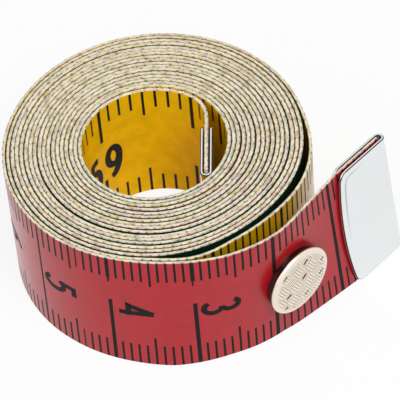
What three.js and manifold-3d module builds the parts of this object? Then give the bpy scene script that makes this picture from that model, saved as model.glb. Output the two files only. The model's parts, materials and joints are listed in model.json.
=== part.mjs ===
// A cloth tape measure, rolled up on edge, with a metal clip on each end and a press stud that holds the
// free end against the roll. Millimetres, +Z up. The roll stands on the lower edge of its tape.
import * as THREE from 'three';
import { mergeVertices } from 'three/addons/utils/BufferGeometryUtils.js';
import Module from 'manifold-3d';

// Tape
const TAPE_LENGTH = 1524; // zero end to far end, over both clips
const TAPE_WIDTH = 18;
const CORE_THICKNESS = 0.13; // woven core; the printed coats on it are not solids here
const COAT_THICKNESS = 0.17; // printed vinyl on each face, kept free of other pieces
const TURN_AIR = 0.075; // air between the coats of two turns
const BEND_GAP = 0.3; // between two lengths of tape that bend against each other

// Roll
const ROLL_INNER_RADIUS = 8.57; // core's middle where the inner tail leaves the roll
const ROLL_STEP_ANGLE = 10; // degrees between two stations of the roll
const STRAP_ROOT_ANGLE = -105.8; // degrees from +X, where the strap leaves the roll
const LIFT_HEIGHT = 0.9; // how far the stud pulls the outer turn off the roll
const LIFT_START = 38; // degrees past the strap root
const LIFT_PEAK = 81;
const LIFT_END = 121;

// Strap, in readings: millimetres of tape from the zero end
const STRAP_ROOT_READING = 38;
const CREASE_READING = 21.9;
const SNAP_READING = 17;
const TIP_READING = 11.6;
const TWIST_END_READING = 8;
const NECK_BEND = 43.5; // degrees that the neck turns between the root and the crease
const TIP_BEND = 4; // degrees that the tip turns in from the snap panel
const TIP_LEAN = 9.5; // degrees that the tip's lower edge swings out
const NECK_STEPS = 8;
const TWIST_STEPS = 6;

// Inner tail
const TAIL_BEND_LENGTH = 4.2;
const TAIL_BEND_ANGLE = 59; // degrees from the roll's curve to the straight end
const TAIL_END_ROOM = 0.45; // from the far end to a circle of the roll's inner radius
const TAIL_BEND_STEPS = 6;

// End clips
const CLIP_LENGTH = 7.8;
const CLIP_INSET = 0.15; // from the tape's edge to the clip's end
const CLIP_SHEET = 0.3;
const CLIP_PLAY = 0.1; // from a coat to the clip's leaf
const CLIP_MOUTH_BOW = 1.3; // the free edge of a leaf bows towards the tape
const CLIP_CORNER = 0.8; // cut corners at the fold
const CLIP_END_ROOM = 0.3; // from the tape's end to the inside of the fold
const FOLD_STEPS = 10;
const BOW_STEPS = 14;

// Press stud: cap and socket on the strap, stud and eyelet on the roll
const SNAP_DROP = 0.4; // below the middle of the tape's width
const SEAT_PLAY = 0.06; // from a coat to the metal that sits on it
const CAP_RADIUS = 4.5;
const CAP_WALL = 0.25;
const CAP_SIDE = 0.85; // height of the cap's rim
const CAP_CROWN = 0.35; // rise of the dome above the rim
const DOME_SHARE = 0.6; // of the cap's radius, where the dome has DOME_RISE of its crown
const DOME_RISE = 0.7;
const CAP_CURL = 0.65; // width of the rim that curls in under the post's flange
const SNAP_PLAY = 0.12; // between two pieces of the snap
const POST_RADIUS = 1.2;
const POST_BORE_RADIUS = 0.8;
const POST_FLANGE_THICKNESS = 0.2;
const POST_BEAD_OVERHANG = 0.6; // the post's rolled end over the socket's plate
const POST_BEAD_THICKNESS = 0.18;
const SOCKET_RADIUS = 3.7;
const SOCKET_PLATE = 0.2;
const SOCKET_LIP = 0.2; // rim on each side of the spring's groove
const STUD_KNOB_RADIUS = 1.9;
const STUD_NECK_RADIUS = 1.65;
const STUD_KNOB_HEIGHT = 0.55;
const STUD_KNOB_CAP = 0.3; // height of the knob's full-width part
const STUD_FLANGE_RADIUS = 3.3;
const STUD_FLANGE_THICKNESS = 0.2;
const STUD_SIDE_PLAY = 0.3; // from the knob to the socket's mouth
const SPRING_WIRE = 0.28;
const SPRING_GAP_ANGLE = 40; // degrees left open in the split ring
const EYELET_RADIUS = 1.05;
const EYELET_BORE_RADIUS = 0.75;
const EYELET_FLANGE_RADIUS = 2.2;
const EYELET_FLANGE_THICKNESS = 0.2;
const RIVET_PLAY = 0.25; // from a rivet's shank to the hole in the tape
const ROUND_SEGMENTS = 28;
const SPRING_STEPS = 20;
const WIRE_SIDES = 6;

// Colours and finish
const CREAM = 0xe6d9b8;
const RED = 0xc8424e;
const YELLOW = 0xe3ad12;
const NICKEL = 0xe8ecec;
const CHAMPAGNE = 0xf0e6d6;
const DULL_NICKEL = 0xd9d2c4;
const BRASS = 0xc9b26a;
const TAPE_ROUGHNESS = 0.55;
const METAL_ROUGHNESS = 0.25;

// Working steps
const SLOPE_STEP = 1e-4; // radians, for the slope of the roll's curve
const WELD_DISTANCE = 1e-5; // corners nearer than this are one
const STUD_SEARCH_STEPS = 60;

// What follows from the sizes above
const PITCH = CORE_THICKNESS + 2 * COAT_THICKNESS + TURN_AIR;
const MID_HEIGHT = TAPE_WIDTH / 2;
const HALF_CORE = CORE_THICKNESS / 2;
const TAIL_STRAIGHT_LENGTH = tailReach() - TAIL_END_ROOM;
const TAIL_LENGTH = TAIL_BEND_LENGTH + TAIL_STRAIGHT_LENGTH;
const WOUND_LENGTH = TAPE_LENGTH - STRAP_ROOT_READING - TAIL_LENGTH;
const WOUND_ANGLE = (2 * Math.PI / PITCH)
  * (Math.sqrt(ROLL_INNER_RADIUS ** 2 + WOUND_LENGTH * PITCH / Math.PI) - ROLL_INNER_RADIUS);
const NECK_RADIUS = (STRAP_ROOT_READING - CREASE_READING) / rad(NECK_BEND);
const LAST_TURN_START = WOUND_ANGLE - 2 * Math.PI;
const CLIP_WIDTH = TAPE_WIDTH - 2 * CLIP_INSET;
const CLIP_HALF = HALF_CORE + COAT_THICKNESS + CLIP_PLAY + CLIP_SHEET;
const TAPE_END_READING = CLIP_SHEET + CLIP_END_ROOM;
const SNAP_HEIGHT = MID_HEIGHT - SNAP_DROP;
const SNAP_SEAT = HALF_CORE + COAT_THICKNESS + SEAT_PLAY;
const SNAP_STACK = SOCKET_PLATE + POST_BEAD_THICKNESS + STUD_KNOB_HEIGHT + STUD_FLANGE_THICKNESS;
const SNAP_SPACING = 2 * SNAP_SEAT + SNAP_STACK + 2 * SNAP_PLAY; // core's middle on strap to that on roll
const POST_HOLE = POST_RADIUS + RIVET_PLAY;
const EYELET_HOLE = EYELET_RADIUS + RIVET_PLAY;

const wasm = await Module();
wasm.setup();

function rad(degrees) {
  return THREE.MathUtils.degToRad(degrees);
}

// Length of a straight tail that runs from the end of its bend right across the roll's hole.
function tailReach() {
  const bend = rad(TAIL_BEND_ANGLE);
  const radius = TAIL_BEND_LENGTH / bend;
  const inwards = radius * (1 - Math.cos(bend));
  const start = new THREE.Vector2(ROLL_INNER_RADIUS - inwards, -radius * Math.sin(bend));
  const way = new THREE.Vector2(-Math.sin(bend), -Math.cos(bend));
  const along = start.dot(way);
  return Math.sqrt(along ** 2 + ROLL_INNER_RADIUS ** 2 - start.lengthSq()) - along;
}

// A rise from 0 to 1 that starts and ends level.
function ease(value) {
  const t = THREE.MathUtils.clamp(value, 0, 1);
  return (1 - Math.cos(Math.PI * t)) / 2;
}

// How far the outer turn stands off the roll, at an angle past the strap root.
function lift(angle) {
  const degrees = THREE.MathUtils.radToDeg(angle);
  const rise = ease((degrees - LIFT_START) / (LIFT_PEAK - LIFT_START));
  const fall = ease((LIFT_END - degrees) / (LIFT_END - LIFT_PEAK));
  return LIFT_HEIGHT * Math.min(rise, fall);
}

// Radius of the core's middle after winding through an angle from the inner end.
function rollRadius(wound) {
  return ROLL_INNER_RADIUS + PITCH * wound / (2 * Math.PI) + lift(wound - LAST_TURN_START);
}

// A station is a place on the tape: its plan position, the heading of the tape there and its lean.
// The outer face is on the right of the heading.
function station(x, y, heading, lean = 0) {
  return { x, y, heading, lean };
}

function rollStation(wound) {
  const radius = rollRadius(wound);
  const slope = (rollRadius(wound + SLOPE_STEP) - rollRadius(wound - SLOPE_STEP)) / (2 * SLOPE_STEP);
  const angle = rad(STRAP_ROOT_ANGLE) - WOUND_ANGLE + wound;
  const heading = angle + Math.PI / 2 - Math.atan2(slope, radius);
  return station(radius * Math.cos(angle), radius * Math.sin(angle), heading);
}

// The place a distance further along a straight tape and a distance out from its outer face's side.
function moved(from, along, out = 0, turn = 0, lean = 0) {
  const x = from.x + along * Math.cos(from.heading) + out * Math.sin(from.heading);
  const y = from.y + along * Math.sin(from.heading) - out * Math.cos(from.heading);
  return station(x, y, from.heading + turn, lean);
}

// A length of tape core: its four corners at each station, joined into one closed strip. Its two faces are
// split along the same diagonals, which keeps a twisted length as thick as a flat one.
function stripGeometry(stations) {
  const positions = [];
  const corners = [[1, -1], [1, 1], [-1, 1], [-1, -1]];
  for (const { x, y, heading, lean } of stations) {
    const right = new THREE.Vector3(Math.sin(heading), -Math.cos(heading), 0);
    const up = new THREE.Vector3(0, 0, Math.cos(lean)).addScaledVector(right, -Math.sin(lean));
    for (const [side, level] of corners) {
      const point = new THREE.Vector3(x, y, MID_HEIGHT);
      point.addScaledVector(right, side * HALF_CORE).addScaledVector(up, level * MID_HEIGHT);
      positions.push(...point.toArray());
    }
  }
  const triangles = [0, 1, 2, 0, 2, 3];
  for (let i = 0; i < stations.length - 1; i += 1) {
    for (let k = 0; k < 4; k += 1) {
      const near = 4 * i + k;
      const nearNext = 4 * i + (k + 1) % 4;
      if (k < 2) triangles.push(near, near + 4, nearNext + 4, near, nearNext + 4, nearNext);
      else triangles.push(near, near + 4, nearNext, nearNext, near + 4, nearNext + 4);
    }
  }
  const last = 4 * (stations.length - 1);
  triangles.push(last, last + 2, last + 1, last, last + 3, last + 2);
  const geometry = new THREE.BufferGeometry();
  geometry.setAttribute('position', new THREE.Float32BufferAttribute(positions, 3));
  geometry.setIndex(triangles);
  return geometry;
}

function toSolid(geometry) {
  const bare = geometry.clone();
  bare.deleteAttribute('normal');
  bare.deleteAttribute('uv');
  const merged = mergeVertices(bare, WELD_DISTANCE);
  const vertProperties = new Float32Array(merged.attributes.position.array);
  const triVerts = new Uint32Array(merged.index.array);
  return new wasm.Manifold(new wasm.Mesh({ numProp: 3, vertProperties, triVerts }));
}

function toGeometry(solid) {
  const mesh = solid.getMesh();
  const geometry = new THREE.BufferGeometry();
  geometry.setAttribute('position', new THREE.Float32BufferAttribute(mesh.vertProperties, 3));
  geometry.setIndex(Array.from(mesh.triVerts));
  return geometry;
}

function named(name, geometry, color, roughness, metalness) {
  geometry.computeVertexNormals();
  const mesh = new THREE.Mesh(geometry, new THREE.MeshStandardMaterial({ color, roughness, metalness }));
  mesh.name = name;
  return mesh;
}

const tape = (name, geometry, color) => named(name, geometry, color, TAPE_ROUGHNESS, 0);
const metal = (name, geometry, color) => named(name, geometry, color, METAL_ROUGHNESS, 1);

// Axes on a piece of tape: X along the heading, Y out of the outer face, origin at a level, mid width if
// not told otherwise.
function placeOn(object, at, level = MID_HEIGHT) {
  const along = new THREE.Vector3(Math.cos(at.heading), Math.sin(at.heading), 0);
  const right = new THREE.Vector3(Math.sin(at.heading), -Math.cos(at.heading), 0);
  const out = right.multiplyScalar(Math.cos(at.lean)).setZ(Math.sin(at.lean));
  const basis = new THREE.Matrix4().makeBasis(along, out, along.clone().cross(out));
  object.quaternion.setFromRotationMatrix(basis);
  object.position.set(at.x, at.y, level);
  object.updateMatrix();
  return object;
}

// A drill through the tape at the snap's level, along a station's Y axis.
function drill(at, radius) {
  const length = 4 * HALF_CORE + 2 * COAT_THICKNESS;
  const geometry = new THREE.CylinderGeometry(radius, radius, length, ROUND_SEGMENTS);
  return toSolid(geometry.applyMatrix4(placeOn(new THREE.Object3D(), at, SNAP_HEIGHT).matrix));
}

// The place of the stud on the outer turn: the neck and half the snap panel just reach it from the root.
function findStudAngle() {
  const root = rollStation(WOUND_ANGLE);
  const neck = 2 * NECK_RADIUS * Math.sin(rad(NECK_BEND) / 2);
  let low = 0;
  let high = Math.PI / 2;
  for (let i = 0; i < STUD_SEARCH_STEPS; i += 1) {
    const middle = (low + high) / 2;
    const crease = moved(rollStation(LAST_TURN_START + middle), SNAP_READING - CREASE_READING, SNAP_SPACING);
    const reach = Math.hypot(crease.x - root.x, crease.y - root.y);
    if (reach < neck) low = middle;
    else high = middle;
  }
  return low;
}

const strapRoot = rollStation(WOUND_ANGLE);
const studPlace = rollStation(LAST_TURN_START + findStudAngle());
const snapPlace = moved(studPlace, 0, SNAP_SPACING);
const creasePlace = moved(snapPlace, SNAP_READING - CREASE_READING);
const tipPlace = moved(snapPlace, SNAP_READING - TIP_READING, 0, rad(TIP_BEND));
const tailRoot = rollStation(0);

// Wound length of the tape, with the eyelet's hole in its outer turn
function tapeRoll() {
  const stations = [];
  for (let wound = 0; wound < WOUND_ANGLE; wound += rad(ROLL_STEP_ANGLE)) stations.push(rollStation(wound));
  stations.push(strapRoot);
  const solid = toSolid(stripGeometry(stations)).subtract(drill(studPlace, EYELET_HOLE));
  return tape('tape_roll', toGeometry(solid), CREAM);
}

// The neck bows in one arc from the root to the crease.
function tapeNeck() {
  const chord = Math.atan2(creasePlace.y - strapRoot.y, creasePlace.x - strapRoot.x);
  const start = station(strapRoot.x, strapRoot.y, chord - rad(NECK_BEND) / 2);
  const first = BEND_GAP / NECK_RADIUS;
  const last = rad(NECK_BEND) - BEND_GAP / 2 / NECK_RADIUS;
  const stations = [];
  for (let i = 0; i <= NECK_STEPS; i += 1) {
    const angle = THREE.MathUtils.lerp(first, last, i / NECK_STEPS);
    stations.push(moved(start, NECK_RADIUS * Math.sin(angle), -NECK_RADIUS * (1 - Math.cos(angle)), angle));
  }
  return tape('tape_neck', stripGeometry(stations), RED);
}

function tapeSnapPanel() {
  const length = CREASE_READING - TIP_READING;
  const ends = [moved(creasePlace, BEND_GAP / 2), moved(creasePlace, length - BEND_GAP / 2)];
  const solid = toSolid(stripGeometry(ends)).subtract(drill(snapPlace, POST_HOLE));
  return tape('tape_snap_panel', toGeometry(solid), RED);
}

// The tip twists until its lower edge leans out, then runs straight into its clip.
function tapeTip() {
  const stations = [];
  const twist = TIP_READING - TWIST_END_READING;
  for (let i = 0; i <= TWIST_STEPS; i += 1) {
    const share = i / TWIST_STEPS;
    const along = BEND_GAP / 2 + (twist - BEND_GAP / 2) * share;
    stations.push(moved(tipPlace, along, 0, 0, rad(TIP_LEAN) * ease(share)));
  }
  stations.push(moved(tipPlace, TIP_READING - TAPE_END_READING, 0, 0, rad(TIP_LEAN)));
  return tape('tape_tip', stripGeometry(stations), RED);
}

// The inner tail, from its clip back to the roll: straight, then bending into the roll's curve.
function tailStations() {
  const stations = [];
  const bend = rad(TAIL_BEND_ANGLE);
  const radius = TAIL_BEND_LENGTH / bend;
  for (let i = 0; i <= TAIL_BEND_STEPS; i += 1) {
    const angle = bend * i / TAIL_BEND_STEPS;
    const back = radius * Math.sin(angle);
    const inwards = radius * (1 - Math.cos(angle));
    stations.push(moved(tailRoot, -back, -inwards, -angle));
  }
  return stations;
}

function tapeInnerTail() {
  const bent = tailStations();
  const bendEnd = bent[bent.length - 1];
  const first = moved(tailRoot, -BEND_GAP);
  const tip = moved(bendEnd, TAPE_END_READING - TAIL_STRAIGHT_LENGTH);
  return tape('tape_inner_tail', stripGeometry([tip, ...bent.slice(1).reverse(), first]), YELLOW);
}

// A clip: sheet folded over the tape's end, with its mouth at X = 0 and its fold at X = CLIP_LENGTH.
function clipGeometry() {
  const foldCentre = CLIP_LENGTH - CLIP_HALF;
  const section = new THREE.Shape();
  section.moveTo(0, -CLIP_HALF);
  section.lineTo(foldCentre, -CLIP_HALF);
  section.absarc(foldCentre, 0, CLIP_HALF, -Math.PI / 2, Math.PI / 2, false);
  section.lineTo(0, CLIP_HALF);
  section.lineTo(0, CLIP_HALF - CLIP_SHEET);
  section.lineTo(foldCentre, CLIP_HALF - CLIP_SHEET);
  section.absarc(foldCentre, 0, CLIP_HALF - CLIP_SHEET, Math.PI / 2, -Math.PI / 2, true);
  section.lineTo(0, CLIP_SHEET - CLIP_HALF);
  const folded = new THREE.ExtrudeGeometry(section, {
    depth: CLIP_WIDTH, bevelEnabled: false, curveSegments: FOLD_STEPS,
  }).translate(0, 0, -CLIP_WIDTH / 2);

  const half = CLIP_WIDTH / 2;
  const bowRadius = (half ** 2 + CLIP_MOUTH_BOW ** 2) / (2 * CLIP_MOUTH_BOW);
  const bowHalfAngle = Math.asin(half / bowRadius);
  const leaf = new THREE.Shape();
  leaf.moveTo(CLIP_LENGTH - CLIP_CORNER, -half);
  leaf.lineTo(CLIP_LENGTH, CLIP_CORNER - half);
  leaf.lineTo(CLIP_LENGTH, half - CLIP_CORNER);
  leaf.lineTo(CLIP_LENGTH - CLIP_CORNER, half);
  leaf.lineTo(CLIP_MOUTH_BOW, half);
  leaf.absarc(bowRadius, 0, bowRadius, Math.PI - bowHalfAngle, Math.PI + bowHalfAngle, false);
  const stamp = new THREE.ExtrudeGeometry(leaf, {
    depth: 4 * CLIP_HALF, bevelEnabled: false, curveSegments: BOW_STEPS,
  }).translate(0, 0, -2 * CLIP_HALF).rotateX(Math.PI / 2);
  return toGeometry(toSolid(folded).intersect(toSolid(stamp)));
}

function zeroEndClip() {
  const mouth = moved(tipPlace, TIP_READING - CLIP_LENGTH, 0, 0, rad(TIP_LEAN));
  return placeOn(metal('zero_end_clip', clipGeometry(), NICKEL), mouth);
}

function farEndClip() {
  const bent = tailStations();
  const mouth = moved(bent[bent.length - 1], CLIP_LENGTH - TAIL_STRAIGHT_LENGTH, 0, Math.PI);
  return placeOn(metal('far_end_clip', clipGeometry(), NICKEL), mouth);
}

// A round piece of the snap, from its profile as pairs of radius and height along Y.
function turned(profile) {
  const points = profile.map(([radius, height]) => new THREE.Vector2(radius, height));
  return new THREE.LatheGeometry(points, ROUND_SEGMENTS);
}

// Heights along the snap's axis, outwards from the strap core's middle
const capFoot = SNAP_SEAT;
const capTop = capFoot + CAP_SIDE;
const postFlangeFoot = capFoot + CAP_WALL + SNAP_PLAY;
const socketTop = -SNAP_SEAT;
const socketPlateFoot = socketTop - SOCKET_PLATE;
const beadTop = socketPlateFoot - SNAP_PLAY;
const beadFoot = beadTop - POST_BEAD_THICKNESS;
const studFlangeFoot = SNAP_SEAT - SNAP_SPACING;
const studFlangeTop = studFlangeFoot + STUD_FLANGE_THICKNESS;
const studTop = studFlangeTop + STUD_KNOB_HEIGHT;
const socketFoot = studFlangeTop + SNAP_PLAY;
const eyeletFlangeTop = -SNAP_SPACING - SNAP_SEAT;
const mouthRadius = STUD_KNOB_RADIUS + STUD_SIDE_PLAY;

function snapCap() {
  const innerRadius = CAP_RADIUS - CAP_WALL;
  const bevel = CAP_WALL;
  return turned([
    [0, capTop - CAP_WALL + CAP_CROWN],
    [innerRadius * DOME_SHARE, capTop - CAP_WALL + CAP_CROWN * DOME_RISE],
    [innerRadius, capTop - CAP_WALL],
    [innerRadius, capFoot + CAP_WALL],
    [CAP_RADIUS - CAP_CURL, capFoot + CAP_WALL],
    [CAP_RADIUS - CAP_CURL, capFoot],
    [CAP_RADIUS - bevel, capFoot],
    [CAP_RADIUS, capFoot + bevel],
    [CAP_RADIUS, capTop - bevel],
    [CAP_RADIUS - bevel, capTop],
    [CAP_RADIUS * DOME_SHARE, capTop + CAP_CROWN * DOME_RISE],
    [0, capTop + CAP_CROWN],
  ]);
}

function capPost() {
  const flangeRadius = CAP_RADIUS - CAP_WALL - SNAP_PLAY;
  const beadRadius = POST_RADIUS + POST_BEAD_OVERHANG;
  return turned([
    [0, postFlangeFoot],
    [POST_BORE_RADIUS, postFlangeFoot],
    [POST_BORE_RADIUS, beadFoot],
    [beadRadius, beadFoot],
    [beadRadius, beadTop],
    [POST_RADIUS, beadTop],
    [POST_RADIUS, postFlangeFoot],
    [flangeRadius, postFlangeFoot],
    [flangeRadius, postFlangeFoot + POST_FLANGE_THICKNESS],
    [0, postFlangeFoot + POST_FLANGE_THICKNESS],
  ]);
}

function snapSocket() {
  const holeRadius = POST_RADIUS + SNAP_PLAY;
  const grooveRadius = mouthRadius + SPRING_WIRE + SNAP_PLAY;
  return turned([
    [holeRadius, socketTop],
    [holeRadius, socketPlateFoot],
    [grooveRadius, socketPlateFoot],
    [grooveRadius, socketFoot + SOCKET_LIP],
    [mouthRadius, socketFoot + SOCKET_LIP],
    [mouthRadius, socketFoot],
    [SOCKET_RADIUS, socketFoot],
    [SOCKET_RADIUS, socketPlateFoot],
    [SOCKET_RADIUS - SOCKET_LIP, socketTop],
    [holeRadius, socketTop],
  ]);
}

// Split ring of wire lying on the socket's lip, round the stud's knob.
class RingArc extends THREE.Curve {
  constructor(radius, height, gap) {
    super();
    this.radius = radius;
    this.height = height;
    this.gap = gap;
  }

  getPoint(t, target = new THREE.Vector3()) {
    const angle = this.gap / 2 + t * (2 * Math.PI - this.gap);
    return target.set(this.radius * Math.cos(angle), this.height, this.radius * Math.sin(angle));
  }
}

function socketSpring() {
  const height = socketFoot + SOCKET_LIP + SNAP_PLAY + SPRING_WIRE / 2;
  const radius = mouthRadius + SPRING_WIRE / 2;
  const wire = new THREE.Shape().absarc(0, 0, SPRING_WIRE / 2, 0, 2 * Math.PI, false);
  return new THREE.ExtrudeGeometry(wire, {
    steps: SPRING_STEPS,
    curveSegments: WIRE_SIDES,
    extrudePath: new RingArc(radius, height, rad(SPRING_GAP_ANGLE)),
  });
}

function snapStud() {
  const bore = EYELET_RADIUS + SNAP_PLAY;
  return turned([
    [bore, studFlangeFoot],
    [STUD_FLANGE_RADIUS, studFlangeFoot],
    [STUD_FLANGE_RADIUS, studFlangeTop],
    [STUD_NECK_RADIUS, studFlangeTop],
    [STUD_KNOB_RADIUS, studTop - STUD_KNOB_CAP],
    [STUD_KNOB_RADIUS, studTop - STUD_KNOB_CAP / 2],
    [STUD_NECK_RADIUS, studTop],
    [bore, studTop],
    [bore, studFlangeFoot],
  ]);
}

function studEyelet() {
  const flangeFoot = eyeletFlangeTop - EYELET_FLANGE_THICKNESS;
  return turned([
    [EYELET_BORE_RADIUS, flangeFoot],
    [EYELET_FLANGE_RADIUS, flangeFoot],
    [EYELET_FLANGE_RADIUS, eyeletFlangeTop],
    [EYELET_RADIUS, eyeletFlangeTop],
    [EYELET_RADIUS, studTop],
    [EYELET_BORE_RADIUS, studTop],
    [EYELET_BORE_RADIUS, flangeFoot],
  ]);
}

function pressStud() {
  const snap = placeOn(new THREE.Group(), snapPlace, SNAP_HEIGHT);
  snap.add(metal('snap_cap', snapCap(), CHAMPAGNE));
  snap.add(metal('snap_cap_post', capPost(), DULL_NICKEL));
  snap.add(metal('snap_socket', snapSocket(), DULL_NICKEL));
  snap.add(metal('socket_spring', socketSpring(), BRASS));
  snap.add(metal('snap_stud', snapStud(), DULL_NICKEL));
  snap.add(metal('stud_eyelet', studEyelet(), DULL_NICKEL));
  return snap;
}

// Least distance between two turns of the roll: corners of one turn's inner face against the outer face
// of the turn inside it.
function leastTurnGap() {
  const face = (wound, side) => {
    const at = moved(rollStation(wound), 0, side * HALF_CORE);
    return new THREE.Vector3(at.x, at.y, 0);
  };
  const nearest = new THREE.Vector3();
  let least = Infinity;
  for (let wound = 2 * Math.PI; wound < WOUND_ANGLE; wound += rad(ROLL_STEP_ANGLE)) {
    const inner = face(wound, -1);
    for (const side of [-1, 0]) {
      const start = wound - 2 * Math.PI + side * rad(ROLL_STEP_ANGLE);
      const outer = new THREE.Line3(face(start, 1), face(start + rad(ROLL_STEP_ANGLE), 1));
      outer.closestPointToPoint(inner, true, nearest);
      least = Math.min(least, nearest.distanceTo(inner));
    }
  }
  return least;
}

const model = new THREE.Group();
model.add(tapeRoll(), tapeNeck(), tapeSnapPanel(), tapeTip(), tapeInnerTail());
model.add(zeroEndClip(), farEndClip(), pressStud());

// The origin is under the middle of the whole object, on the surface that it stands on.
const box = new THREE.Box3().setFromObject(model, true);
const middle = box.getCenter(new THREE.Vector3());
model.position.set(-middle.x, -middle.y, -box.min.z);

// Where the tape bends, in the model's own frame
const bendPlace = (at) => [at.x - middle.x, at.y - middle.y, MID_HEIGHT];
model.userData.bends = {
  strapRoot: bendPlace(strapRoot),
  crease: bendPlace(creasePlace),
  tip: bendPlace(tipPlace),
  tail: bendPlace(tailRoot),
};

console.log(`Turns in the roll: ${(WOUND_ANGLE / (2 * Math.PI)).toFixed(2)}`);
console.log(`Least gap between two turns: ${leastTurnGap().toFixed(3)} mm`);

export default model;
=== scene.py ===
"""A rolled cloth tape measure: printed tape, end clips and a press stud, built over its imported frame.

Lengths are in metres. A reading is a length of tape measured from its zero end. Plan places, seen from
above, are complex numbers x + iy. On the tape, heading points towards the zero end, and out points from
the face with the centimetre scale.
"""

import cmath
import json
import math

import bpy
import numpy as np
from bpy.props import FloatProperty, PointerProperty, StringProperty
from bpy.types import Operator, Panel, PropertyGroup
from mathutils import Matrix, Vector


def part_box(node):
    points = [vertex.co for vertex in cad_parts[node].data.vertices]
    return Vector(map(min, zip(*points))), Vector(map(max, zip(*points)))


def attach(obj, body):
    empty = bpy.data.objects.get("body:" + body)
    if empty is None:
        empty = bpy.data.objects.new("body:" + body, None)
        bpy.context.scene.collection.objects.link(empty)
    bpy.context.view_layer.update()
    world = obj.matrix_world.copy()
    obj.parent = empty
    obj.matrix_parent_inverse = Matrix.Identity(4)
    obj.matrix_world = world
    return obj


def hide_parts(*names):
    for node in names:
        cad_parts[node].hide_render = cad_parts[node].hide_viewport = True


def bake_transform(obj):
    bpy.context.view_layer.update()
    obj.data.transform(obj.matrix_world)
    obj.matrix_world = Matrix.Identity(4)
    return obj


bl_info = {
    "name": "Rolled Tape Measure",
    "version": (1, 0, 0),
    "blender": (4, 5, 0),
    "location": "3D View > Sidebar > Tape Measure",
    "description": "Builds a rolled cloth tape measure with its end clips and press stud",
    "category": "Object",
}

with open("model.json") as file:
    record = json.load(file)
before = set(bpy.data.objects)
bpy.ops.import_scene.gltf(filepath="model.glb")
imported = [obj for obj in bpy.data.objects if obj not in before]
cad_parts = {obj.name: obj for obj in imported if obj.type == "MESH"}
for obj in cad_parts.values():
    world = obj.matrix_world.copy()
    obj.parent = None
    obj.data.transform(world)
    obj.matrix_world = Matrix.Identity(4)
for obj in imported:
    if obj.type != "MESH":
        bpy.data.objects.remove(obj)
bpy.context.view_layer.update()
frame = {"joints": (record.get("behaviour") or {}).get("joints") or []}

MM = 0.001
INCH = 25.4 * MM
SIXTEENTH = INCH / 16

JOINT_PLACES = {joint["name"]: complex(*joint["pos_m"][:2]) for joint in frame["joints"]}
ROOT = JOINT_PLACES["strap_root_bend"]
CREASE = JOINT_PLACES["strap_crease_bend"]
TIP = JOINT_PLACES["strap_tip_bend"]
MID_HEIGHT = (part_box("tape_roll")[0].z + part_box("tape_roll")[1].z) / 2
SNAP_HEIGHT = (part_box("snap_cap")[0].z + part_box("snap_cap")[1].z) / 2

# The free strap's heading from +X, in degrees, by reading in mm. It leaves the roll at the last one.
STRAP_READINGS = (0, 16, 20, 25, 30, 35, 40, 46)
STRAP_HEADINGS = (44, 42, 32, 16, 4, -12, -23, -41)
# How far the strap's lower edge swings out, in degrees, by reading in mm.
LEAN_READINGS = (0, 8, 19, 26, 33, 46)
STRAP_LEANS = (8, 8, 0, 0, 2.6, 0.8)
# Length over which the lean fades out along the roll, past the strap.
LEAN_FADE = 20 * MM
# Swells and dent of the turns by the strap: middle and reach in degrees past its root, height in mm.
NECK_SWELL = (27, 19, 0.54)
SIDE_SWELL = (87, 34, 0.6)
DENT = (53, 44, 0.42)
# The tape is pressed flat up to a reading, and eases to its full thickness over a length.
PRESSED_END = 200 * MM
PRESSED_FADE = 60 * MM
# From one reading on the print is covered by other turns, until a length before the innermost turn.
COVERED_START = 160 * MM
COVERED_MARGIN = 15 * MM
# Lengths over which painted shade darkens the covered print and clears, and its shaded tone between them.
COVERED_FADE_IN = 55 * MM
COVERED_FADE_OUT = 9 * MM
PAINTED_SHADE_TONE = 0.2
# Seams between the tape's pieces, from the strap's root, from its tip's bend and from the inner tail.
ROOT_SEAM = 6 * MM
TIP_SEAM = 2.4 * MM
TAIL_SEAM = 5 * MM
# Steps along the tape between two rows of points.
ROLL_STEP = 0.8 * MM
STRAP_STEP = 0.25 * MM
# Turns whose print shows, at the outside and at the inside of the roll.
PRINTED_OUTER_TURNS = 2.1
PRINTED_INNER_TURNS = 2
# Turns in a bunch at the roll's front, and turns over which the dent there fades inwards.
BUNCH_TURNS = 3.3
DENT_TURNS = 16
# Where the lamps stand from the camera's target, in metres.
KEY_OFFSET = (0.10, -0.25, 0.46)
FILL_OFFSET = (-0.42, -0.12, 0.30)
WHITE = (1.0, 1.0, 1.0, 1.0)


def length_prop(name, description, millimetres):
    """A length that the user can change, given in millimetres and kept in metres."""
    size = millimetres * MM
    return FloatProperty(name=name, description=description, default=size, unit="LENGTH", precision=5)


def angle_prop(name, description, degrees):
    """An angle that the user can change, given in degrees and kept in radians."""
    turn = math.radians(degrees)
    return FloatProperty(name=name, description=description, default=turn, subtype="ANGLE")


def colour_prop(name, description, hex_value):
    """A colour that the user can change, as an sRGB hex value."""
    return StringProperty(name=name, description=description, default=hex_value)


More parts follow.
